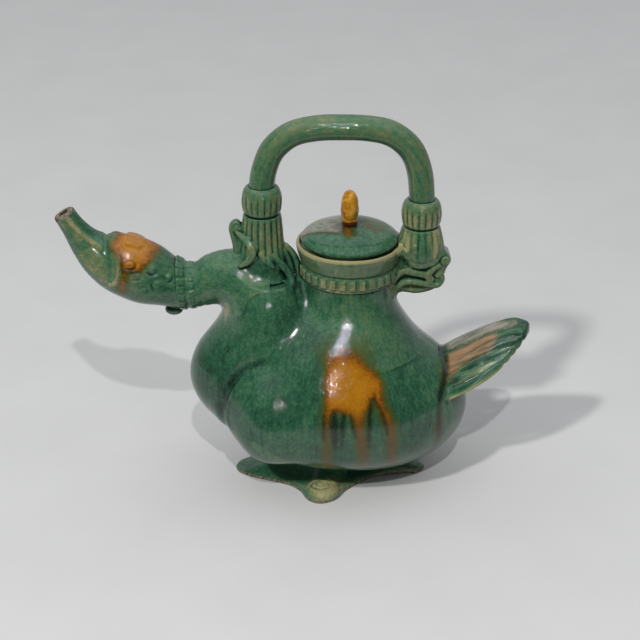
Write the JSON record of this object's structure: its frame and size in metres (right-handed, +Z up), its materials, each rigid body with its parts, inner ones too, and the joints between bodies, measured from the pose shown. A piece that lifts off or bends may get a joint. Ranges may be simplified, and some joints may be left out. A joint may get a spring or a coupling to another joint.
{
  "type": "duck teapot",
  "caption": "Glazed stoneware teapot shaped as a resting duck: the head is the spout, an overhead handle stands on fluted sockets, and a domed lid lifts off.",
  "frame": {"origin": "on the plane that the foot rests on, under the middle of the mouth", "axes": "+Z up along the mouth's axis, -X towards the bill, +X towards the tail, Y across the duck"},
  "size_m": [0.2548, 0.1036, 0.2116],
  "materials": {
    "green_glaze": "glossy crackled green lead glaze over stoneware",
    "pale_glaze": "glossy green glaze run thin over buff clay on raised reeds",
    "dark_glaze": "dark pooled green glaze with bare buff clay on the rim",
    "amber_glaze": "glossy amber glaze"
  },
  "bodies": {
    "pot": {"body_shell": "green_glaze", "mouth_collar": "pale_glaze", "head_spout": "green_glaze", "neck_band": "pale_glaze", "near_eye": "pale_glaze", "far_eye": "pale_glaze", "throat_knob": "dark_glaze", "tail_fan": "green_glaze", "foot_plate": "dark_glaze", "front_socket": "pale_glaze", "front_scroll": "pale_glaze", "near_leaf": "pale_glaze", "far_leaf": "pale_glaze", "front_bead": "pale_glaze", "handle_bail": "green_glaze", "rear_bead": "pale_glaze", "rear_socket": "pale_glaze", "rear_bracket": "pale_glaze", "near_scroll_eye": "pale_glaze", "far_scroll_eye": "pale_glaze"},
    "lid": {"lid_cap": "green_glaze", "lid_ring": "pale_glaze", "lid_finial": "amber_glaze"}
  },
  "joints": [
    {"name": "lid_lift", "type": "slide", "parent": "pot", "child": "lid", "axis": [0, 0, 1], "range_m": [0, 0.026]}
  ]
}
